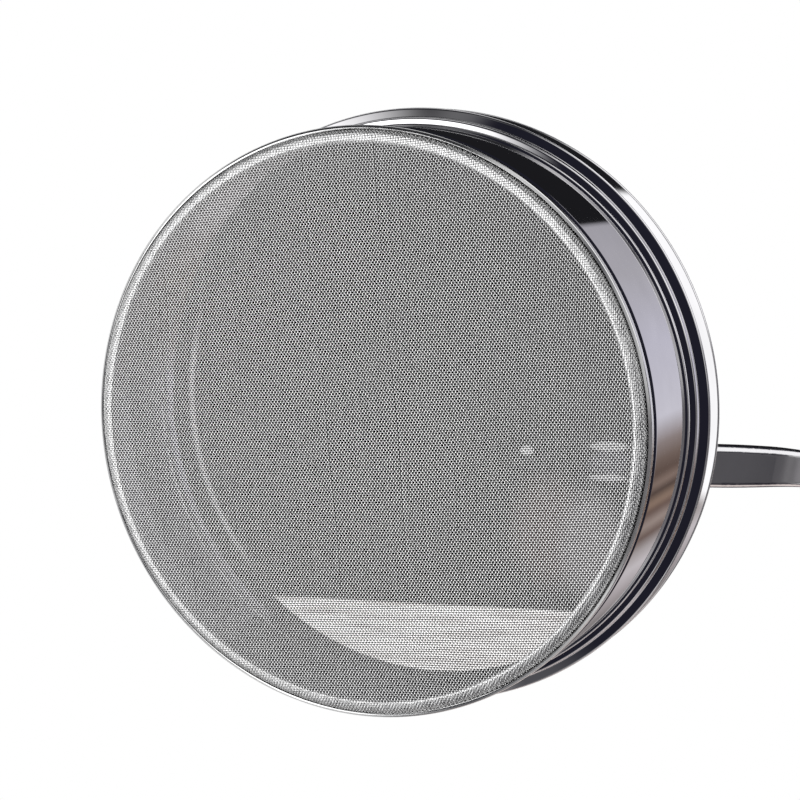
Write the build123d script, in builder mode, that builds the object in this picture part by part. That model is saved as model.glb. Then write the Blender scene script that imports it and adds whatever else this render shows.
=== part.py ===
"""Round hand sieve: a polished sheet-steel frame with a stepped, rolled rim, a woven wire screen
stretched over an inner hoop at the lower end, and a pressed strap handle rising from the rim.

Frame: origin at the centre of the screen's lower face, +Z up through the open rim, +X to the handle.
"""
from build123d import *
import math
import os

# ---- driving dimensions, millimetres ----
SCREEN_R = 75.0  # outer radius of the screen cloth where it wraps up the hoop
CLOTH = 0.4  # thickness of the woven cloth, two wires
CLOTH_TOP = 8.0  # height of the cloth's turned-up edge

HOOP_SHEET = 0.6
HOOP_TOP = 14.0
HOOP_FLANGE_R = 71.5  # inner radius of the hoop's flange
HOOP_LIP_TOP = 2.2  # top of the turned-up inner lip
HOOP_CORNER = 1.6  # bend radius, centreline
LIP_CORNER = 0.6

SHEET = 0.5  # wall and rim sheet
WALL_R = 76.0  # outer radius of the straight wall
WALL_BOTTOM = 5.2
BEAD_Z = 36.1  # middle height of the swaged bead
BEAD_PROUD = 0.9
BEAD_REACH = 1.2  # from the bead's middle to where its flanks start
BEAD_CREST = 0.45  # half height of its crest
LEDGE_RISE = 0.2  # how much the first ledge has spread where it leaves the bead
STEP_R = 78.6  # outer radius of the small riser between the two ledges
STEP_BOTTOM = 38.0
STEP_TOP = 39.7
STEP_LEAN = 0.15  # the riser's lean outwards
RIM_R = 81.2  # outer radius of the rim band
RIM_BOTTOM = 41.0
RIM_TOP = 52.6
SHELL_BENDS = [0.5, 0.35, 0.35, 0.5, 0.5, 0.6, 0.8]  # bend radii from the bead up to the rim band

WIRE_R = 0.5  # core wire of the rolled rim
ROLL_GAP = 0.25  # from the roll to the plane of the strap's tab
ROLL_TURN = 255  # degrees that the sheet turns round the core wire

CLAMP_SHEET = 0.4
CLAMP_BOTTOM = 1.2
CLAMP_BEAD_TOP = 4.4
CLAMP_TOP = 10.0
CLAMP_FLANK = 0.7  # height of the bead's sloping flanks
CLAMP_BENDS = [0.45, 0.45, 0.3]

STRAP = 1.0  # handle sheet
STRAP_DEPTH = 3.6  # overall depth of the pressed channel
STRAP_EDGE = 1.9  # outer bend radius of the channel's edges
TAB_BOTTOM = 43.6
RISE = 55.0  # degrees above the rim plane
RISE_LENGTH = 24.0
SWEEP_R = 45.0  # radius of the bend between the rise and the grip
GRIP_TILT = 8.0
GRIP_LENGTH = 72.0
GRIP_HALF = 9.0  # half width of the grip
ROOT_HALF = 5.8  # half width at the rim
HANG_HOLE_R = 3.5
HANG_HOLE_INSET = 10.0  # from the grip's end to the hole's centre

FLANK_START_X = 93.0  # along X, places where the half width changes
FLANK_START_HALF = 5.4
WAIST_X = 105.0
WAIST_HALF = 4.7
FLARE_X = 122.0
FLARE_HALF = 5.6
ROOT_START_X = 70.0
ROOT_BEND = 3.0  # bend over the rolled rim
TAB_SHORT = 0.8  # how far below the rim's top the bend starts
ROOT_CUT = 2.0  # along the rise, where the channel's flanges start
OFF_MIDDLE = 1.0  # an edge this far from the middle plane runs along a side
ON_LINE = 0.02  # how near an edge's middle must be to count as on a line
CLEAR = 20.0  # more than any half width, for cutting

PLATE_HALF = 11.0  # half width of the doubler plate
PLATE_BOTTOM = 43.2
PLATE_TOP = 49.8

WELD_R = 1.3
WELD_PROUD = 0.25
WELD_Z = 47.0
WELD_SPACING = 4.4
WELD_TAPER = 35  # degrees

os.makedirs("parts", exist_ok=True)

# ---- derived places ----
wall_mid = WALL_R - SHEET / 2
rim_mid = RIM_R - SHEET / 2
roll_r = WIRE_R + SHEET / 2
roll_centre_r = rim_mid - roll_r
roll_centre_z = RIM_TOP - WIRE_R - SHEET
hoop_mid = SCREEN_R - CLOTH - HOOP_SHEET / 2
flange_mid_z = CLOTH + HOOP_SHEET / 2
flat_r = hoop_mid - HOOP_CORNER  # where the cloth leaves the flat and starts up the hoop
cloth_corner = SCREEN_R - flat_r
clamp_in = SCREEN_R + CLAMP_SHEET / 2
clamp_out = WALL_R - CLAMP_SHEET / 2
plate_face_x = roll_centre_r - roll_r - SHEET / 2 - ROLL_GAP  # flat inner face of the doubler plate

# ---- frame ----
with BuildPart() as body_shell:
    with BuildSketch(Plane.XZ):
        with BuildLine():
            outline = FilletPolyline(
                (wall_mid, WALL_BOTTOM + SHEET / 2),
                (wall_mid, BEAD_Z - BEAD_REACH),
                (wall_mid + BEAD_PROUD, BEAD_Z - BEAD_CREST),
                (wall_mid + BEAD_PROUD, BEAD_Z + BEAD_CREST),
                (wall_mid + LEDGE_RISE, BEAD_Z + BEAD_REACH),
                (STEP_R - SHEET / 2 - STEP_LEAN, STEP_BOTTOM),
                (STEP_R - SHEET / 2, STEP_TOP),
                (rim_mid, RIM_BOTTOM),
                (rim_mid, roll_centre_z),
                radius=SHELL_BENDS,
            )
            JernArc(start=outline @ 1, tangent=outline % 1, radius=roll_r, arc_size=ROLL_TURN)
        trace(line_width=SHEET)
    revolve(axis=Axis.Z)
body_shell.part.label = "body_shell"

with BuildPart() as rim_wire:
    with BuildSketch(Plane.XZ):
        with Locations((roll_centre_r, roll_centre_z)):
            Circle(WIRE_R)
    revolve(axis=Axis.Z)
rim_wire.part.label = "rim_wire"

# ---- screen end ----
with BuildPart() as support_hoop:
    with BuildSketch(Plane.XZ):
        with BuildLine():
            FilletPolyline(
                (HOOP_FLANGE_R + HOOP_SHEET / 2, HOOP_LIP_TOP),
                (HOOP_FLANGE_R + HOOP_SHEET / 2, flange_mid_z),
                (hoop_mid, flange_mid_z),
                (hoop_mid, HOOP_TOP),
                radius=[LIP_CORNER, HOOP_CORNER],
            )
        trace(line_width=HOOP_SHEET)
    revolve(axis=Axis.Z)
support_hoop.part.label = "support_hoop"

with BuildPart() as mesh_screen:
    with BuildSketch(Plane.XZ):
        with BuildLine():
            under = Line((0, 0), (flat_r, 0))
            outer_corner = JernArc(
                start=under @ 1, tangent=(1, 0), radius=cloth_corner, arc_size=90
            )
            side = Line(outer_corner @ 1, (SCREEN_R, CLOTH_TOP))
            edge = Line(side @ 1, (SCREEN_R - CLOTH, CLOTH_TOP))
            inside = Line(edge @ 1, (SCREEN_R - CLOTH, cloth_corner))
            inner_corner = JernArc(
                start=inside @ 1, tangent=(0, -1), radius=cloth_corner - CLOTH, arc_size=-90
            )
            top = Line(inner_corner @ 1, (0, CLOTH))
            Line(top @ 1, (0, 0))
        make_face()
    revolve(axis=Axis.Z)
mesh_screen.part.label = "mesh_screen"

with BuildPart() as clamp_ring:
    with BuildSketch(Plane.XZ):
        with BuildLine():
            FilletPolyline(
                (clamp_in, CLAMP_BOTTOM + CLAMP_SHEET / 2),
                (clamp_out, CLAMP_BOTTOM + CLAMP_FLANK),
                (clamp_out, CLAMP_BEAD_TOP - CLAMP_FLANK),
                (clamp_in, CLAMP_BEAD_TOP),
                (clamp_in, CLAMP_TOP),
                radius=CLAMP_BENDS,
            )
        trace(line_width=CLAMP_SHEET)
    revolve(axis=Axis.Z)
clamp_ring.part.label = "clamp_ring"

# ---- handle ----
with BuildPart() as handle_doubler:
    with BuildSketch(Plane.XY.offset(PLATE_BOTTOM)):
        Circle(RIM_R - SHEET)
        with Locations((plate_face_x, 0)):
            Rectangle(CLEAR, 2 * PLATE_HALF, align=(Align.MIN, Align.CENTER), mode=Mode.INTERSECT)
    extrude(amount=PLATE_TOP - PLATE_BOTTOM)
handle_doubler.part.label = "handle_doubler"


def strap_path():
    """The strap's centreline: up the tab, over the rolled rim, up the rise and out along the grip."""
    tab_x = plate_face_x - STRAP / 2
    with BuildLine(Plane.XZ) as path:
        tab = Line((tab_x, TAB_BOTTOM), (tab_x, RIM_TOP - TAB_SHORT))
        over = JernArc(start=tab @ 1, tangent=(0, 1), radius=ROOT_BEND, arc_size=RISE - 90)
        rise = PolarLine(over @ 1, RISE_LENGTH, RISE)
        sweep_out = JernArc(
            start=rise @ 1, tangent=rise % 1, radius=SWEEP_R, arc_size=GRIP_TILT - RISE
        )
        PolarLine(sweep_out @ 1, GRIP_LENGTH, GRIP_TILT)
    return path.wire()


centreline = strap_path()
grip_end = centreline @ 1
rise_dir = Vector(math.cos(math.radians(RISE)), 0, math.sin(math.radians(RISE)))
rise_up = Vector(-rise_dir.Z, 0, rise_dir.X)
rise_start = centreline.edges()[1] @ 1
grip_dir = centreline % 1
grip_up = Vector(-grip_dir.Z, 0, grip_dir.X)


def side_face(low, high):
    """The strap seen from the side, between two offsets from its centreline; up is positive."""
    sides = []
    for amount in (low, high):
        side = Side.LEFT if amount > 0 else Side.RIGHT
        sides.append(centreline.offset_2d(abs(amount), side=side, closed=False))
    ends = [side.vertices().sort_by(Axis.Z) for side in sides]
    closers = [Edge.make_line(ends[0][k].center(), ends[1][k].center()) for k in (0, -1)]
    return Face(Wire(sides[0].edges() + sides[1].edges() + closers))


def plan(shrink):
    """The strap's outline seen from above, drawn in by shrink on every side."""
    root_half = ROOT_HALF - shrink
    grip_half = GRIP_HALF - shrink
    with BuildSketch() as outline:
        with BuildLine():
            start = Line((ROOT_START_X + shrink, root_half), (RIM_R, root_half))
            flank = Spline(
                start @ 1,
                (FLANK_START_X, FLANK_START_HALF - shrink),
                (WAIST_X, WAIST_HALF - shrink),
                (FLARE_X, FLARE_HALF - shrink),
                (grip_end.X - GRIP_HALF, grip_half),
                tangents=[(1, 0), (1, 0)],
            )
            RadiusArc(flank @ 1, (grip_end.X - shrink, 0), grip_half)
            mirror(about=Plane.XZ)
            Line((ROOT_START_X + shrink, -root_half), (ROOT_START_X + shrink, root_half))
        make_face()
    return outline.sketch


def under_edges(part, underside):
    """The long outer edges of a strap solid's lower face, underside being that face's side line."""
    on_line = part.edges().filter_by(lambda e: abs((e @ 0.5).Y) > OFF_MIDDLE)
    flat = [Vector((e @ 0.5).X, 0, (e @ 0.5).Z) for e in on_line]
    return ShapeList(
        e for e, middle in zip(on_line, flat) if underside.distance_to(middle) < ON_LINE
    )


with BuildPart() as hollow:
    extrude(side_face(STRAP / 2, STRAP_DEPTH), amount=CLEAR, both=True)
    extrude(plan(STRAP), amount=2 * CLEAR + grip_end.Z, mode=Mode.INTERSECT)

with BuildPart() as root_clearance:
    extrude(side_face(STRAP / 2, STRAP_DEPTH), amount=CLEAR, both=True)
    slant_start = rise_start + rise_dir * ROOT_CUT + rise_up * STRAP
    slant = Plane(origin=slant_start, z_dir=rise_dir - rise_up)
    split(bisect_by=slant, keep=Keep.BOTTOM)

with BuildPart() as handle_strap:
    extrude(side_face(-STRAP / 2, STRAP_DEPTH - STRAP / 2), amount=CLEAR, both=True)
    extrude(plan(0), amount=2 * CLEAR + grip_end.Z, mode=Mode.INTERSECT)
    underside = centreline.offset_2d(STRAP / 2, side=Side.RIGHT, closed=False)
    fillet(under_edges(handle_strap.part, underside), radius=STRAP_EDGE)
    add(hollow.part, mode=Mode.SUBTRACT)
    add(root_clearance.part, mode=Mode.SUBTRACT)
    hang_hole = grip_end - grip_dir * HANG_HOLE_INSET
    with Locations(Plane(origin=hang_hole, z_dir=grip_up)):
        Hole(HANG_HOLE_R)
handle_strap.part.label = "handle_strap"

with BuildPart() as handle_spot_welds:
    tab_face = Plane(origin=(plate_face_x - STRAP, 0, WELD_Z), z_dir=(-1, 0, 0))
    with BuildSketch(tab_face):
        with GridLocations(WELD_SPACING, WELD_SPACING, 2, 2):
            Circle(WELD_R)
    extrude(amount=WELD_PROUD, taper=WELD_TAPER)
handle_spot_welds.part.label = "handle_spot_welds"

for piece in (
    body_shell,
    rim_wire,
    support_hoop,
    mesh_screen,
    clamp_ring,
    handle_doubler,
    handle_strap,
    handle_spot_welds,
):
    export_step(piece.part, f"parts/{piece.part.label}.step")
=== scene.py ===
"""The soil sieve's looks: lathed polished steel and a real woven wire screen around the CAD frame."""
import math

import bpy
import numpy as np
from mathutils import Matrix, Vector


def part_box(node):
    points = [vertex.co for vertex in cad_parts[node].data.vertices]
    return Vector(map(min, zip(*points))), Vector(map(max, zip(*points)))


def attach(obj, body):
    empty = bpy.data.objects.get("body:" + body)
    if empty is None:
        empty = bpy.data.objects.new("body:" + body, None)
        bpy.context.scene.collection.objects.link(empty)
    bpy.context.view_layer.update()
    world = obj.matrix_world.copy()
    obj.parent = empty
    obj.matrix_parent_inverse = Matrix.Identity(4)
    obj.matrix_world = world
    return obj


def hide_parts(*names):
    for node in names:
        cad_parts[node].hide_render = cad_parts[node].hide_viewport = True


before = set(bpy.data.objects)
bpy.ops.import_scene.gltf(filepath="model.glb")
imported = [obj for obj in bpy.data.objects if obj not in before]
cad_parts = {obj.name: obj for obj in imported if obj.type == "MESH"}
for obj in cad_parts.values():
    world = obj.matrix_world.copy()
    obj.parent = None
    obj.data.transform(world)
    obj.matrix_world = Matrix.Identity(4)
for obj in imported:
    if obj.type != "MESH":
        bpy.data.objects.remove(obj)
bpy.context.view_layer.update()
MM = 0.001

# ---- sizes, in metres: the first few are the CAD frame's ----
shell_low, shell_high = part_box("body_shell")
RIM_R = shell_high.x
RIM_TOP = shell_high.z
WALL_BOTTOM = shell_low.z
HOOP_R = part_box("support_hoop")[1].x
CLOTH_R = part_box("mesh_screen")[1].x
WALL_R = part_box("clamp_ring")[1].x
SHEET = 0.5 * MM
HOOP_SHEET = 0.6 * MM
CLAMP_SHEET = 0.4 * MM
WIRE = 0.2 * MM
CLOTH = 2 * WIRE
TURNS = 512
HOLD = 0.15 * MM  # points this far from a straight run's ends keep its shading flat

# the shell, from its lower edge up
EDGE_TUCK = 0.25 * MM  # the wall's lower edge turns in this far
EDGE_RISE = 1.1 * MM
BEAD_Z = 36.1 * MM
BEAD_PROUD = 0.9 * MM
BEAD_HALF_CREST = 0.45 * MM
BEAD_FOOT = 0.9 * MM  # from the bead's middle down to the wall
BEAD_BACK = 1.2 * MM  # and up to the ledge
LEDGE_OFF_WALL = 0.2 * MM
STEP_R = 78.6 * MM
STEP_LEAN = 0.4 * MM
STEP_FOOT_Z = 38.0 * MM
STEP_TOP_Z = 39.7 * MM
BAND_FOOT_Z = 41.0 * MM
RIM_LEAN = 0.35 * MM  # how far the rim band leans in by its top
WALL_BENDS = [r * MM for r in (2.5, 0.3, 0.3)]
RIM_BENDS = [r * MM for r in (0.35, 0.5, 0.5, 0.6, 0.6)]
ROLL = 0.75 * MM
ROLL_CLEARANCE = 0.02 * MM  # the rolled edge stays this far inside the frame's own radius
ROLL_NECK = 0.6 * MM
ROLL_START, ROLL_SWEEP, ROLL_STEPS = -40, 295, 40  # degrees, degrees, steps

# the hoop, with its crimped flange, and the clamp ring
FLANGE_R = 71.5 * MM
FLANGE_RISE = 0.4 * MM
LIP_TOP = 2.4 * MM
SKIRT_TOP = 14 * MM
HOOP_BENDS = [0.4 * MM, 1.0 * MM]
PLEAT_DEPTH = 0.2 * MM
PLEATS_ROUND = (37, 58, 83, 127, 166)
PLEAT_BIAS = 0.9
CLAMP_HEIGHTS = (1.4, 1.9, 3.7, 4.4, 10)  # mm: foot, bead's start and end, neck and top
CLAMP_BENDS = [0.45 * MM, 0.45 * MM, 0.3 * MM]


# ---- profiles ----
def rounded(points, radii, steps=8):
    """A line through points, its inner corners rounded to their radii and its straight runs held flat."""
    line = [Vector(points[0])]
    for before, corner, after, radius in zip(points, points[1:], points[2:], radii):
        corner = Vector(corner)
        into = (corner - Vector(before)).normalized()
        out = (Vector(after) - corner).normalized()
        turn = into.angle(out)
        reach = radius * math.tan(turn / 2)
        side = 1 if into.x * out.y - into.y * out.x > 0 else -1
        centre = corner - into * reach + Vector((-into.y, into.x)) * side * radius
        spoke = corner - into * reach - centre
        for k in range(steps + 1):
            angle = side * turn * k / steps
            c, s = math.cos(angle), math.sin(angle)
            line.append(centre + Vector((spoke.x * c - spoke.y * s, spoke.x * s + spoke.y * c)))
    line.append(Vector(points[-1]))
    held = [line[0]]
    for start, end in zip(line, line[1:]):
        run = end - start
        if run.length > 3 * HOLD:
            held += [start + run * (HOLD / run.length), end - run * (HOLD / run.length)]
        held.append(end)
    return held


def thick(line, thickness):
    """The closed outline of a sheet of that thickness along a centreline."""
    left, right = [], []
    for k, point in enumerate(line):
        along = (line[min(k + 1, len(line) - 1)] - line[max(k - 1, 0)]).normalized()
        normal = Vector((-along.y, along.x)) * thickness / 2
        left.append(point + normal)
        right.append(point - normal)
    return right + left[::-1]


def lathe(name, outline, ripple=None):
    """A closed outline of (radius, height) turned about Z. ripple(r, z, angle) moves points a little."""
    outline = np.array(outline)
    angles = np.arange(TURNS) * 2 * math.pi / TURNS
    count = len(outline)
    r = np.tile(outline[:, 0], (TURNS, 1))
    z = np.tile(outline[:, 1], (TURNS, 1))
    a = np.tile(angles[:, None], (1, count))
    if ripple:
        dr, dz = ripple(r, z, a)
        r, z = r + dr, z + dz
    verts = np.stack([r * np.cos(a), r * np.sin(a), z], -1).reshape(-1, 3)
    i, j = np.meshgrid(np.arange(TURNS), np.arange(count), indexing="ij")
    i2, j2 = (i + 1) % TURNS, (j + 1) % count
    faces = np.stack([i * count + j, i2 * count + j, i2 * count + j2, i * count + j2], -1)
    return solid(name, verts, faces.reshape(-1, 4))


def solid(name, verts, faces):
    mesh = bpy.data.meshes.new(name)
    mesh.vertices.add(len(verts))
    mesh.vertices.foreach_set("co", np.asarray(verts, np.float32).ravel())
    mesh.loops.add(faces.size)
    mesh.loops.foreach_set("vertex_index", faces.astype(np.int32).ravel())
    mesh.polygons.add(len(faces))
    width = faces.shape[1]
    mesh.polygons.foreach_set("loop_start", np.arange(0, faces.size, width, dtype=np.int32))
    mesh.polygons.foreach_set("use_smooth", np.ones(len(faces), bool))
    mesh.update(calc_edges=True)
    piece = bpy.data.objects.new(name, mesh)
    bpy.context.scene.collection.objects.link(piece)
    return piece


def sharpen(piece, degrees):
    """Smooth shading that breaks at edges sharper than the angle."""
    bpy.context.view_layer.objects.active = piece
    piece.select_set(True)
    bpy.ops.object.shade_smooth_by_angle(angle=math.radians(degrees))
    piece.select_set(False)


def place(piece, node, slot, material):
    piece.data.materials.clear()
    piece.data.materials.append(material)
    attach(piece, "root")
    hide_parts(node)


# ---- materials ----
def nodes_of(name):
    material = bpy.data.materials.new(name)
    material.use_nodes = True
    tree = material.node_tree
    tree.nodes.clear()
    out = tree.nodes.new("ShaderNodeOutputMaterial")
    shader = tree.nodes.new("ShaderNodeBsdfPrincipled")
    tree.links.new(shader.outputs[0], out.inputs["Surface"])
    return material, tree, shader


def add_node(tree, kind, inputs=(), **settings):
    node = tree.nodes.new(kind)
    for key, value in settings.items():
        setattr(node, key, value)
    for socket, value in inputs:
        if isinstance(value, bpy.types.NodeSocket):
            tree.links.new(value, node.inputs[socket])
        else:
            node.inputs[socket].default_value = value
    return node


def maths(tree, operation, *values):
    return add_node(tree, "ShaderNodeMath", list(enumerate(values)), operation=operation).outputs[0]


def distance(tree, x, y):
    """The length of the flat vector (x, y)."""
    squares = maths(tree, "MULTIPLY", x, x), maths(tree, "MULTIPLY", y, y)
    return maths(tree, "SQRT", maths(tree, "ADD", *squares))


def turned_coordinates(tree, round_scale):
    """Coordinates that run round Z, out and up, so that noise drawn on them streaks round a turned part."""
    position = add_node(tree, "ShaderNodeTexCoord").outputs["Object"]
    split = add_node(tree, "ShaderNodeSeparateXYZ", [(0, position)])
    x, y, z = split.outputs
    radius = distance(tree, x, y)
    angle = maths(tree, "ARCTAN2", y, x)
    turn = maths(tree, "MULTIPLY", angle, round_scale)
    return add_node(tree, "ShaderNodeCombineXYZ", [(0, turn), (1, radius), (2, z)]).outputs[0]


def noise(tree, vector, scale, detail=2.0, roughness=0.5):
    return add_node(
        tree, "ShaderNodeTexNoise",
        [("Vector", vector), ("Scale", scale), ("Detail", detail), ("Roughness", roughness)],
    ).outputs[0]


def ramp(tree, value, *stops):
    """A colour read from (place, colour) stops."""
    node = add_node(tree, "ShaderNodeValToRGB", [(0, value)])
    elements = node.color_ramp.elements
    while len(elements) < len(stops):
        elements.new(0.5)
    for element, (at, colour) in zip(elements, stops):
        element.position = at
        element.color = (*colour, 1)
    return node.outputs[0]


def remap(tree, value, low, high):
    return add_node(
        tree, "ShaderNodeMapRange",
        [("Value", value), ("From Min", 0.3), ("From Max", 0.7), ("To Min", low), ("To Max", high)],
    ).outputs[0]


def smooth(tree, value, low, high, bottom=0.0, top=1.0):
    return add_node(
        tree, "ShaderNodeMapRange",
        [("Value", value), ("From Min", low), ("From Max", high), ("To Min", bottom), ("To Max", top)],
        interpolation_type="SMOOTHSTEP",
    ).outputs[0]


def over(tree, under, cover, share):
    """One colour laid over another."""
    mix = tree.nodes.new("ShaderNodeMix")
    mix.data_type = "RGBA"
    tree.links.new(share, mix.inputs["Factor"])
    for socket, value in ((mix.inputs[6], under), (mix.inputs[7], cover)):
        if isinstance(value, bpy.types.NodeSocket):
            tree.links.new(value, socket)
        else:
            socket.default_value = (*value, 1)
    return mix.outputs[2]


def between(tree, value, low, high, soft):
    """One inside the range and nought outside, with soft edges."""
    rising = smooth(tree, value, low - soft, low + soft)
    return maths(tree, "MULTIPLY", rising, smooth(tree, value, high - soft, high + soft, 1.0, 0.0))


def steel(name, tint, rough, bump, round_scale=0.002, streak=9000, blotch=60):
    """Polished sheet steel: hairlines running round the part, faint cloudy tone and a slight waviness."""
    material, tree, shader = nodes_of(name)
    turned = turned_coordinates(tree, round_scale)
    position = add_node(tree, "ShaderNodeTexCoord").outputs["Object"]
    hair = noise(tree, turned, streak, 4.0, 0.6)
    cloud = noise(tree, position, blotch, 3.0, 0.55)
    dark = tuple(0.88 * c for c in tint)
    tree.links.new(ramp(tree, cloud, (0.3, dark), (0.7, tint)), shader.inputs["Base Color"])
    shader.inputs["Metallic"].default_value = 1.0
    mix = maths(tree, "MULTIPLY_ADD", hair, 0.6, maths(tree, "MULTIPLY", cloud, 0.4))
    tree.links.new(remap(tree, mix, rough[0], rough[1]), shader.inputs["Roughness"])
    bumped = add_node(tree, "ShaderNodeBump", [("Strength", bump), ("Distance", 0.00002), ("Height", hair)])
    tree.links.new(bumped.outputs[0], shader.inputs["Normal"])
    return material


polished = steel("polished_wall", (0.80, 0.79, 0.81), (0.02, 0.05), 0.015)
hoop_steel = steel("hoop_steel", (0.82, 0.82, 0.82), (0.16, 0.34), 0.3)
clamp_steel = steel("clamp_steel", (0.86, 0.86, 0.86), (0.06, 0.16), 0.15)
handle_steel = steel("handle_steel", (0.74, 0.73, 0.75), (0.08, 0.18), 0.2)
weld_steel = steel("weld_steel", (0.52, 0.48, 0.43), (0.3, 0.5), 0.4, blotch=900)


# painted light and shade along a wire: a painted highlight on the weave's crests, 0, down to painted shade in
# its valleys, 1
CREST_LIGHT_AND_SHADE = (
    (0.2, (1.0, 1.0, 0.99)),
    (0.46, (0.8, 0.8, 0.8)),
    (0.66, (0.06, 0.06, 0.06)),
    (0.9, (0.02, 0.02, 0.02)),
)
# how finely the painted sheen over the hoop's flange is broken into patches, round the screen and outwards
SHEEN_PATCHES_ROUND = 26
SHEEN_PATCHES_OUT = 120


def wire(name, bright):
    """Drawn wire with light and shade painted into its colour: a painted highlight on the weave's crests,
    painted shade in its valleys and a painted sheen over the hoop's flange.
    """
    material, tree, shader = nodes_of(name)
    position = add_node(tree, "ShaderNodeTexCoord").outputs["Object"]
    cloud = noise(tree, position, 35, 3.0, 0.55)
    # painted light and shade: the colour is bright where the wire crests the weave and dark where it dips
    # under
    crest = add_node(tree, "ShaderNodeAttribute", attribute_name="crest").outputs["Fac"]
    x, y, height = add_node(tree, "ShaderNodeSeparateXYZ", [(0, position)]).outputs
    inside = smooth(tree, height, 0.14 * MM, 0.26 * MM)
    flipped = maths(tree, "MULTIPLY", crest, maths(tree, "MULTIPLY_ADD", inside, -2.0, 1.0))
    depth = maths(tree, "MULTIPLY_ADD", flipped, -0.5, 0.5)
    base = ramp(tree, depth, *((at, tuple(bright * c for c in tone)) for at, tone in CREST_LIGHT_AND_SHADE))

    # painted sheen: in patches over the hoop's flange the wires' colour is drawn towards a middle grey, which
    # lights up the dark weft
    radius = distance(tree, x, y)
    round_at = maths(tree, "MULTIPLY", maths(tree, "ARCTAN2", y, x), SHEEN_PATCHES_ROUND)
    out_at = maths(tree, "MULTIPLY", radius, SHEEN_PATCHES_OUT)
    crimp_sheen_at = add_node(tree, "ShaderNodeCombineXYZ", [(0, round_at), (1, out_at)]).outputs[0]
    crimp_sheen = remap(tree, noise(tree, crimp_sheen_at, 1.0, 3.0, 0.6), 0.15, 1.0)
    sheen_over_flange = smooth(tree, radius, FLANGE_R - 0.3 * MM, FLANGE_R + 0.3 * MM)
    base = over(tree, base, (0.5, 0.5, 0.5), maths(tree, "MULTIPLY", sheen_over_flange, crimp_sheen))

    stain = maths(tree, "MULTIPLY", remap(tree, cloud, 0, 1), 0.1)
    tree.links.new(over(tree, base, (0.2, 0.2, 0.21), stain), shader.inputs["Base Color"])
    shader.inputs["Metallic"].default_value = 1.0
    tree.links.new(remap(tree, cloud, 0.16, 0.25), shader.inputs["Roughness"])
    return material


# the weft wires are the same steel as the warp with painted shade: their colour is scaled down to 0.03
# against the warp's 0.97
warp_wire = wire("screen_warp_wire", 0.97)
weft_wire = wire("screen_weft_wire_painted_shade", 0.03)


# ---- frame pieces ----
def body_shell():
    """The wall up to the bead's crest, and from there the stepped shoulder, rim band and rolled edge."""
    wall = WALL_R - SHEET / 2
    crest = wall + BEAD_PROUD
    rim = RIM_R - SHEET / 2
    roll_r = rim - ROLL - ROLL_CLEARANCE
    roll_z = RIM_TOP - ROLL - SHEET / 2
    lower = rounded(
        [
            (wall - EDGE_TUCK, WALL_BOTTOM),
            (wall, WALL_BOTTOM + EDGE_RISE),
            (wall, BEAD_Z - BEAD_FOOT),
            (crest, BEAD_Z - BEAD_HALF_CREST),
            (crest, BEAD_Z),
        ],
        WALL_BENDS,
    )
    upper = rounded(
        [
            (crest, BEAD_Z),
            (crest, BEAD_Z + BEAD_HALF_CREST),
            (wall + LEDGE_OFF_WALL, BEAD_Z + BEAD_BACK),
            (STEP_R - STEP_LEAN, STEP_FOOT_Z),
            (STEP_R - SHEET / 2, STEP_TOP_Z),
            (rim, BAND_FOOT_Z),
            (rim - RIM_LEAN, roll_z - ROLL_NECK),
        ],
        RIM_BENDS,
    )
    for k in range(ROLL_STEPS + 1):
        angle = math.radians(ROLL_START + ROLL_SWEEP * k / ROLL_STEPS)
        upper.append(Vector((roll_r + ROLL * math.cos(angle), roll_z + ROLL * math.sin(angle))))
    return lathe("body_shell_wall", thick(lower, SHEET)), lathe("body_shell_rim", thick(upper, SHEET))


def support_hoop():
    """The hoop's flange is crimped: shallow radial pleats of uneven width and depth."""
    lip = FLANGE_R + HOOP_SHEET / 2
    skirt = HOOP_R - HOOP_SHEET / 2
    flange_z = CLOTH + HOOP_SHEET / 2
    corners = [(lip, LIP_TOP), (lip, flange_z), (skirt, flange_z + FLANGE_RISE), (skirt, SKIRT_TOP)]
    dice = np.random.default_rng(5)
    waves = [(n, dice.uniform(0, 2 * math.pi), dice.uniform(0.3, 1)) for n in PLEATS_ROUND]

    def pleats(r, z, a):
        depth = sum(w * np.cos(n * a + p) for n, p, w in waves) / len(waves)
        share = np.clip((HOOP_R - r) / (HOOP_R - FLANGE_R), 0, 1) * (z < LIP_TOP)
        return np.zeros_like(r), PLEAT_DEPTH * share * (depth + PLEAT_BIAS)

    return lathe("support_hoop_skin", thick(rounded(corners, HOOP_BENDS), HOOP_SHEET), pleats)


def clamp_ring():
    """The ring that grips the cloth's turned-up edge, with one bead that stands out to the wall."""
    inside = CLOTH_R + CLAMP_SHEET / 2
    bead = WALL_R - CLAMP_SHEET / 2
    radii = (inside, bead, bead, inside, inside)
    corners = [(r, z * MM) for r, z in zip(radii, CLAMP_HEIGHTS)]
    return lathe("clamp_ring_skin", thick(rounded(corners, CLAMP_BENDS), CLAMP_SHEET))


shell_wall, shell_rim = body_shell()
shell_rim.visible_glossy = False  # the wall reflects the room and not the shoulder right above it
for piece, node, slot, material in (
    (shell_wall, "body_shell", "polished_wall", polished),
    (shell_rim, "body_shell", "polished_wall", polished),
    (support_hoop(), "support_hoop", "hoop_steel", hoop_steel),
    (clamp_ring(), "clamp_ring", "clamp_steel", clamp_steel),
):
    sharpen(piece, 40)
    place(piece, node, slot, material)

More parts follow.
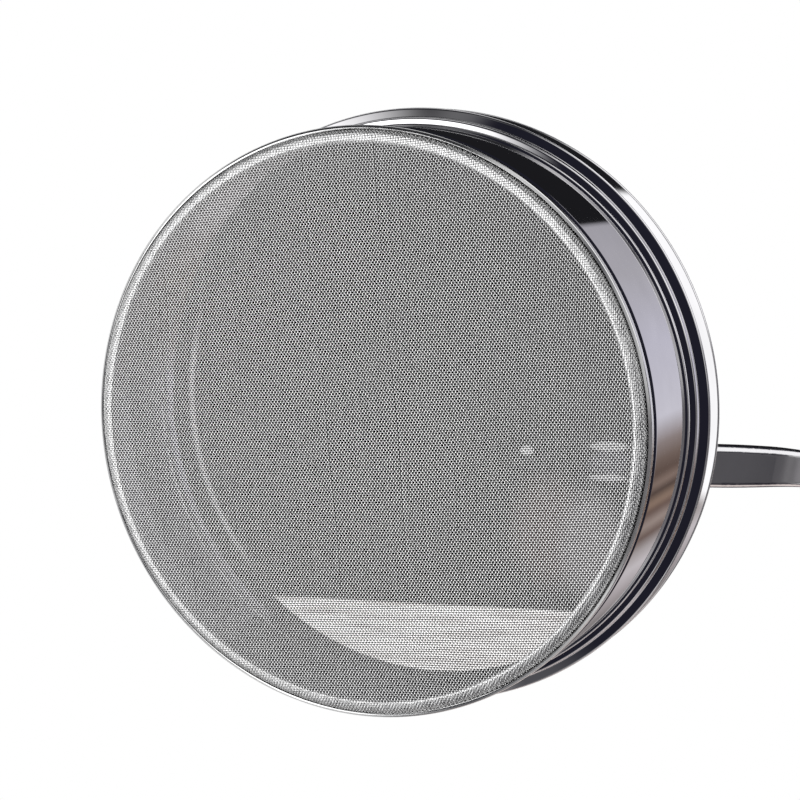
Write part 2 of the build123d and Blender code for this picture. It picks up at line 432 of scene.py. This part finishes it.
# ---- woven screen ----
WARP_PITCH = 0.444 * MM
WEFT_PITCH = 0.599 * MM
WEAVE_TURN = math.radians(-15.3)  # the weft's direction from +X
WARP_BROAD = 1.4  # the warp wires are flattened: this much broader than high
CORNER_INSET = 1.9 * MM  # where the cloth starts to bend, in from the hoop's radius
TURN_UP = 0.7 * MM  # how far the cloth runs up the hoop's side
CORNER_R = CLOTH_R - WIRE - (HOOP_R - CORNER_INSET)
FLAT_R = CLOTH_R - WIRE - CORNER_R
CLOTH_REACH = FLAT_R + CORNER_R * math.pi / 2 + TURN_UP
SHIFT = 0.012 * MM  # how far a wire usually strays sideways
SHIFT_WAVE = 40  # radians of that stray to a metre of wire
ODD_SHARE, ODD_SHIFT = 0.04, 3  # the share of wires that stray more, and how much more
WIRE_SIDES = 4
WIRE_BANDS = 6


def wrapped(x, y, lift):
    """Points of the flat cloth, laid over the hoop's corner and up its side, lift off its middle."""
    rho = np.hypot(x, y)
    past = np.clip(rho - FLAT_R, 0, None)
    bend = np.clip(past / CORNER_R, 0, math.pi / 2)
    rise = past - bend * CORNER_R
    out = np.minimum(rho, FLAT_R) + CORNER_R * np.sin(bend)
    z = CLOTH / 2 + CORNER_R * (1 - np.cos(bend)) + rise
    out = out - lift * np.sin(bend)
    z = z + lift * np.cos(bend)
    scale = out / np.maximum(rho, 1e-9)
    return np.stack([x * scale, y * scale, z], -1)


def wander(x, y):
    """The cloth's slight unevenness: a smooth shift of its points in its own plane."""
    east = 0.22 * np.sin(x * 71 + y * 43 + 1.0) + 0.12 * np.sin(y * 190 - x * 60 + 2.2)
    north = 0.22 * np.sin(y * 64 - x * 38 + 0.4) + 0.10 * np.sin(x * 170 + y * 45 + 4.0)
    return x + east * MM, y + north * MM


def wires(name, first, last, pitch, cross_pitch, turn, phase, broad, shifts):
    """Wires first to last of one direction, each bent over and under the wires that cross it."""
    along = np.array([math.cos(turn), math.sin(turn)])
    across = np.array([-along[1], along[0]])
    verts, faces, crests, start = [], [], [], 0
    ring = np.arange(WIRE_SIDES)
    spin = (ring + 0.5) * 2 * math.pi / WIRE_SIDES
    grow = 1 / math.cos(math.pi / WIRE_SIDES) ** 0.5
    for i in range(first, last):
        offset = (i + 0.5) * pitch
        if abs(offset) >= CLOTH_REACH - cross_pitch:
            continue
        half = math.sqrt(CLOTH_REACH**2 - offset**2)
        n = int(half / cross_pitch)
        if n < 1:
            continue
        step = np.arange(-2 * n, 2 * n - 1)
        s = (step / 2 + 0.5) * cross_pitch
        crest = np.cos(math.pi * (step / 2 + i)) * phase
        stray = shifts[i - first] * np.sin(SHIFT_WAVE * s + i)[:, None]
        side = np.cos(spin)[None, :] * WIRE / 2 * grow * broad + stray
        lift = crest[:, None] * WIRE / 2 + np.sin(spin)[None, :] * WIRE / 2 * grow
        x, y = wander(
            s[:, None] * along[0] + (offset + side) * across[0],
            s[:, None] * along[1] + (offset + side) * across[1],
        )
        verts.append(wrapped(x, y, lift).reshape(-1, 3))
        crests.append(np.repeat(crest, WIRE_SIDES))
        k = np.arange(len(step) - 1)[:, None] * WIRE_SIDES + start
        a, b = k + ring, k + (ring + 1) % WIRE_SIDES
        faces.append(np.stack([a, a + WIRE_SIDES, b + WIRE_SIDES, b], -1).reshape(-1, 4))
        faces.append(np.array([ring[::-1] + start, ring + start + (len(step) - 1) * WIRE_SIDES]))
        start += len(step) * WIRE_SIDES
    piece = solid(name, np.concatenate(verts), np.concatenate(faces))
    crest = piece.data.attributes.new("crest", "FLOAT", "POINT")
    crest.data.foreach_set("value", np.concatenate(crests).astype(np.float32))
    return piece


def screen():
    """All the weft wires, then all the warp wires, in bands with about the same length of wire in each."""
    dice = np.random.default_rng(11)
    made = []
    for kind, pitch, cross, turn, phase, broad in (
        ("weft", WEFT_PITCH, WARP_PITCH, WEAVE_TURN, -1, 1.0),
        ("warp", WARP_PITCH, WEFT_PITCH, WEAVE_TURN + math.pi / 2, 1, WARP_BROAD),
    ):
        half = int(CLOTH_REACH / pitch) + 1
        rows = np.arange(-half, half)
        length = np.sqrt(np.clip(CLOTH_REACH**2 - (rows * pitch) ** 2, 0, None)).cumsum()
        shares = [length[-1] * g / WIRE_BANDS for g in range(WIRE_BANDS)]
        edges = [int(np.searchsorted(length, share)) - half for share in shares] + [half]
        for g, (first, last) in enumerate(zip(edges, edges[1:])):
            shifts = dice.normal(0, SHIFT, last - first)
            shifts[dice.random(len(shifts)) < ODD_SHARE] *= ODD_SHIFT
            name = f"screen_{kind}_{g + 1}"
            made.append(wires(name, first, last, pitch, cross, turn, phase, broad, shifts))
    return made


for piece in screen():
    place(piece, "mesh_screen", "screen_wire", warp_wire if "warp" in piece.name else weft_wire)
    piece.visible_glossy = False  # so that the flange behind it reflects the light below

# ---- carried-over CAD pieces ----
for node, material in (
    ("rim_wire", hoop_steel),
    ("handle_strap", handle_steel),
    ("handle_doubler", handle_steel),
    ("handle_spot_welds", weld_steel),
):
    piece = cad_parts[node]
    piece.data.materials.clear()
    piece.data.materials.append(material)
    piece.visible_glossy = False
    sharpen(piece, 30)


# ---- stage ----
FLOOR_HALF = 6
FLOOR_Z = -0.2 * MM
CARD_R = 80 * MM
CARD_Z = 50 * MM
CARD_SIDES = 64
# painted shade: beyond the rim's inner edge the card is plain dark, where the shaded inside of the rim is
# seen
OPENING_R = 75.3 * MM  # the card is dark beyond the rim's inner edge
TABLE_EDGE = 56.4 * MM  # the table starts this far across the opening
DARK = (0.004, 0.004, 0.0045)


def card(name, corners, material):
    """A flat piece of the stage that only the camera sees."""
    mesh = bpy.data.meshes.new(name)
    mesh.from_pydata([Vector(c) for c in corners], [], [tuple(range(len(corners)))])
    piece = bpy.data.objects.new(name, mesh)
    piece.data.materials.append(material)
    bpy.context.scene.collection.objects.link(piece)
    piece.visible_glossy = False
    piece.visible_diffuse = False
    piece.visible_shadow = False
    piece.visible_transmission = False


def one_sided(tree, shader, out, see_side):
    """The surface shows only on one side; from the other it isn't there."""
    clear = add_node(tree, "ShaderNodeBsdfTransparent")
    back = add_node(tree, "ShaderNodeNewGeometry").outputs["Backfacing"]
    mix = tree.nodes.new("ShaderNodeMixShader")
    tree.links.new(back, mix.inputs[0])
    order = (shader, clear) if see_side == "front" else (clear, shader)
    tree.links.new(order[0].outputs[0], mix.inputs[1])
    tree.links.new(order[1].outputs[0], mix.inputs[2])
    tree.links.new(mix.outputs[0], out.inputs["Surface"])


def pale_floor():
    """The floor that the sieve stands on, seen from above only."""
    material, tree, shader = nodes_of("pale_floor")
    shader.inputs["Base Color"].default_value = (0.82, 0.82, 0.81, 1)
    shader.inputs["Roughness"].default_value = 0.7
    one_sided(tree, shader, tree.nodes["Material Output"], "front")
    signs = ((-1, -1), (1, -1), (1, 1), (-1, 1))
    corners = [(x * FLOOR_HALF, y * FLOOR_HALF, FLOOR_Z) for x, y in signs]
    card("floor", corners, material)


# soft ovals on the card: colour, place (along, across) and size in mm, and softness
CARD_PATCHES = (
    ((0.20, 0.15, 0.145), (34.3, 34.5), (10.5, 14), 0.4),
    ((0.36, 0.34, 0.35), (46, 38.5), (8.5, 14), 0.4),
    ((0.16, 0.155, 0.18), (51.4, 15), (5.4, 3.6), 0.25),
    ((0.75, 0.75, 0.76), (51.4, 10.7), (5.3, 1.3), 0.25),
    ((0.75, 0.74, 0.76), (50.8, 19.2), (5.3, 0.9), 0.25),
    # the small white oval is a painted glint
    ((1.0, 1.0, 1.0), (28.2, 12.3), (1.8, 1.25), 0.25),
)


def room_seen_through():
    """A card that shows, from below, the dim space and the pale streaky table behind the screen."""
    material = bpy.data.materials.new("room_seen_through")
    material.use_nodes = True
    tree = material.node_tree
    tree.nodes.clear()
    out = tree.nodes.new("ShaderNodeOutputMaterial")
    glow = add_node(tree, "ShaderNodeEmission", [("Strength", 1.0)])
    position = add_node(tree, "ShaderNodeTexCoord").outputs["Object"]

    def measured(direction):
        ends = [(0, position), (1, direction)]
        return add_node(tree, "ShaderNodeVectorMath", ends, operation="DOT_PRODUCT").outputs["Value"]

    def off(distance_along, place, size):
        return maths(tree, "DIVIDE", maths(tree, "SUBTRACT", distance_along, place * MM), size * MM)

    direction = Vector((71.2, -15.0, 0)).normalized()  # the table's edge, across the opening
    along = measured(direction)
    across = measured(Vector((-direction.y, direction.x, 0)))
    stretched = [(0, maths(tree, "MULTIPLY", along, 40)), (1, maths(tree, "MULTIPLY", across, 420))]
    grain_at = add_node(tree, "ShaderNodeCombineXYZ", stretched).outputs[0]
    table = ramp(
        tree, noise(tree, grain_at, 1.0, 3.0, 0.6),
        (0.3, (0.9, 0.84, 0.82)), (0.5, (1.5, 1.46, 1.44)), (0.72, (2.0, 1.98, 1.98)),
    )
    colour = over(tree, DARK, table, smooth(tree, across, TABLE_EDGE - 0.5 * MM, TABLE_EDGE + 0.5 * MM))
    for cover, (place_along, place_across), (long, wide), soft in CARD_PATCHES:
        far = distance(tree, off(along, place_along, long), off(across, place_across, wide))
        colour = over(tree, colour, cover, smooth(tree, far, 1 - soft, 1 + soft, 1.0, 0.0))

    east, north, _ = add_node(tree, "ShaderNodeSeparateXYZ", [(0, position)]).outputs
    radius = distance(tree, east, north)
    glint_side = smooth(tree, measured((-0.92, 0.39, 0)), 62 * MM, 71 * MM)
    glint_ring = between(tree, radius, 73.0 * MM, 74.6 * MM, 0.7 * MM)
    colour = over(tree, colour, (0.75, 0.75, 0.76), maths(tree, "MULTIPLY", glint_ring, glint_side))
    # painted shade: the card turns plain dark beyond the rim's inner edge
    beyond = smooth(tree, radius, OPENING_R - 0.25 * MM, OPENING_R + 0.25 * MM)
    tree.links.new(over(tree, colour, DARK, beyond), glow.inputs["Color"])
    one_sided(tree, glow, out, "back")
    turns = [2 * math.pi * k / CARD_SIDES for k in range(CARD_SIDES)]
    card("room_seen_through", [(CARD_R * math.cos(t), CARD_R * math.sin(t), CARD_Z) for t in turns], material)


pale_floor()
room_seen_through()


# ---- light: a world of soft patches for the steel to reflect, plain white to the camera ----
def compass(azimuth, elevation):
    """The direction at an azimuth from +X and an elevation above the screen's plane, in degrees."""
    a, e = math.radians(azimuth), math.radians(elevation)
    return math.cos(e) * math.cos(a), math.cos(e) * math.sin(a), math.sin(e)


def soft_box(tree, direction, azimuth, elevation, inner, outer):
    """A round patch of light about a direction, full within inner degrees and gone beyond outer degrees."""
    aim = add_node(tree, "ShaderNodeVectorMath", [(0, direction), (1, compass(azimuth, elevation))],
                   operation="DOT_PRODUCT").outputs["Value"]
    return smooth(tree, aim, math.cos(math.radians(outer)), math.cos(math.radians(inner)))


BLACK = (0.012, 0.012, 0.014)
NAVY = (0.016, 0.016, 0.026)
WALL_FROM, ZENITH_FROM, UPWARD = 61, 76, 120  # elevations; nothing is above UPWARD

# colours round the compass, by azimuth: high up, where the wall looks
WALL_VIEW = (
    (-180, BLACK), (-89.5, BLACK), (-88, (0.42, 0.41, 0.45)), (-60, (0.46, 0.45, 0.49)),
    (-25, (0.60, 0.59, 0.68)), (10, (0.66, 0.65, 0.72)), (22, (0.30, 0.25, 0.24)),
    (30, (0.19, 0.14, 0.12)), (36, (0.13, 0.09, 0.075)), (41, (0.26, 0.19, 0.16)),
    (45, (0.10, 0.07, 0.06)), (50, (0.30, 0.21, 0.16)), (54, (0.15, 0.10, 0.085)),
    (60, (0.36, 0.29, 0.26)), (66, (0.17, 0.12, 0.105)), (73, (0.42, 0.38, 0.38)),
    (82, (0.60, 0.56, 0.58)), (96, (0.40, 0.36, 0.37)), (110, (0.24, 0.22, 0.22)),
    (180, (0.16, 0.16, 0.17)),
)
# and low down, round the table
TABLE_VIEW = (
    (-180, (0.72, 0.72, 0.72)), (-150, (0.80, 0.80, 0.80)), (-128, (0.34, 0.34, 0.35)),
    (-112, (0.66, 0.66, 0.66)), (-84, (0.74, 0.74, 0.74)), (-66, (0.42, 0.42, 0.43)),
    (-52, (0.10, 0.10, 0.11)), (-40, (0.48, 0.48, 0.49)), (-14, (0.68, 0.68, 0.68)),
    (16, (0.58, 0.58, 0.58)), (38, (0.76, 0.76, 0.76)), (64, (0.38, 0.38, 0.39)),
    (82, (0.12, 0.12, 0.13)), (96, (0.56, 0.56, 0.56)), (124, (0.78, 0.78, 0.78)),
    (150, (0.50, 0.50, 0.51)), (180, (0.72, 0.72, 0.72)),
)
# the stripes that the handle's web reflects, by elevation over GRIP_SPAN degrees
GRIP_VIEW = (
    (0.0, (0.09, 0.088, 0.092)), (0.2, (0.24, 0.23, 0.24)), (0.34, (0.14, 0.137, 0.14)),
    (0.52, (0.34, 0.33, 0.34)), (0.62, (0.17, 0.166, 0.172)), (0.72, (0.24, 0.235, 0.24)),
    (0.8, (0.13, 0.127, 0.134)),
)
GRIP_SPAN, GRIP_LEVEL = 50, 0.75
# small lights: colour, azimuths, elevations and the softness of each. They are for the far side of the bead
# and step, the handle's upper lip, the near side and the handle's lower lip
SMALL_LIGHTS = (
    ((1.1, 1.1, 1.1), (-168, -76), (33, 43), (7, 2)),
    ((1.3, 1.3, 1.3), (-84, -24), (0, 42), (7, 5)),
    ((0.9, 0.88, 0.88), (-30, 40), (31, 41), (8, 2)),
    ((0.95, 0.84, 0.80), (44, 92), (10, 40), (8, 5)),
)
# round lights below the screen: brightness, azimuth, elevation, full within and gone beyond these degrees
SOFT_BOXES = ((2.8, -175, -50, 24, 42), (3.2, 157, -24, 22, 40))


def surroundings():
    world = bpy.data.worlds.new("studio")
    bpy.context.scene.world = world
    world.use_nodes = True
    tree = world.node_tree
    background = tree.nodes["Background"]
    direction = add_node(tree, "ShaderNodeTexCoord").outputs["Generated"]
    x, y, z = add_node(tree, "ShaderNodeSeparateXYZ", [(0, direction)]).outputs
    azimuth = maths(tree, "DEGREES", maths(tree, "ARCTAN2", y, x))
    elevation = maths(tree, "DEGREES", maths(tree, "ARCSINE", z))
    full_turn = [("Value", azimuth), ("From Min", -180), ("From Max", 180)]
    turn = add_node(tree, "ShaderNodeMapRange", full_turn).outputs[0]

    def round_compass(view):
        return ramp(tree, turn, *(((degrees + 180) / 360, colour) for degrees, colour in view))

    def region(azimuths, elevations, soft):
        """One inside a range of azimuths and elevations, with soft edges in each."""
        return maths(
            tree, "MULTIPLY",
            between(tree, azimuth, *azimuths, soft[0]), between(tree, elevation, *elevations, soft[1]),
        )

    high = between(tree, elevation, WALL_FROM, UPWARD, 1.5)
    colour = over(tree, NAVY, round_compass(WALL_VIEW), high)
    colour = over(tree, colour, (1.14, 1.14, 1.15), region((-112, 84), (ZENITH_FROM, UPWARD), (3, 0.4)))

    table = round_compass(TABLE_VIEW)
    below, horizon = smooth(tree, elevation, -34, -24), smooth(tree, elevation, 0.8, 3.2, 1.0, 0.0)
    colour = over(tree, colour, table, maths(tree, "MULTIPLY", below, horizon))
    behind = maths(tree, "SUBTRACT", 1.0, between(tree, azimuth, -104, 96, 8))
    around_level = between(tree, elevation, -36, 34, 3)
    colour = over(tree, colour, table, maths(tree, "MULTIPLY", behind, around_level))
    colour = over(tree, colour, (0.03, 0.03, 0.034), region((-156, -92), (-36, 6), (7, 4)))

    grip = ramp(tree, maths(tree, "MULTIPLY_ADD", elevation, 1 / GRIP_SPAN, GRIP_LEVEL), *GRIP_VIEW)
    colour = over(tree, colour, grip, region((-12, 34), (-34, 12), (8, 4)))
    for light, azimuths, elevations, soft in SMALL_LIGHTS:
        colour = over(tree, colour, light, region(azimuths, elevations, soft))
    for bright, *where in SOFT_BOXES:
        colour = over(tree, colour, (bright, bright, bright), soft_box(tree, direction, *where))

    path = add_node(tree, "ShaderNodeLightPath").outputs
    colour = over(tree, colour, (0.95, 0.95, 0.95), path["Is Diffuse Ray"])
    tree.links.new(over(tree, colour, (1.0, 1.0, 1.0), path["Is Camera Ray"]), background.inputs[0])


surroundings()


def area(name, place, size, power):
    """A square lamp aimed at the sieve, which lights the floor and isn't reflected."""
    light = bpy.data.lights.new(name, "AREA")
    light.shape = "RECTANGLE"
    light.size = light.size_y = size
    light.energy = power
    lamp = bpy.data.objects.new(name, light)
    lamp.location = place
    lamp.rotation_euler = (-Vector(place)).to_track_quat("-Z", "Y").to_euler()
    lamp.visible_glossy = False
    bpy.context.scene.collection.objects.link(lamp)


area("key_above", (-0.6, -0.7, 1.4), 0.9, 8)
area("fill_above", (0.9, 0.6, 1.1), 0.8, 4)

# ---- camera: below the screen, so that the axis recedes to the right ----
CAMERA_AT = Vector((0.18196, -0.10024, -0.46402))
CAMERA_AIM = Vector((0.0099, -0.0091, 0.0))
CAMERA_UP = Vector((-0.217, -0.970, 0.110))
camera_data = bpy.data.cameras.new("camera")
camera_data.sensor_width = 36
camera_data.lens = 90
camera_data.clip_start = 0.05
camera_data.clip_end = 20
camera = bpy.data.objects.new("camera", camera_data)
bpy.context.scene.collection.objects.link(camera)
back = (CAMERA_AT - CAMERA_AIM).normalized()
right = CAMERA_UP.cross(back).normalized()
up = back.cross(right)
camera.matrix_world = Matrix.Translation(CAMERA_AT) @ Matrix((right, up, back)).transposed().to_4x4()
bpy.context.scene.camera = camera
bpy.context.scene.view_settings.view_transform = "Standard"
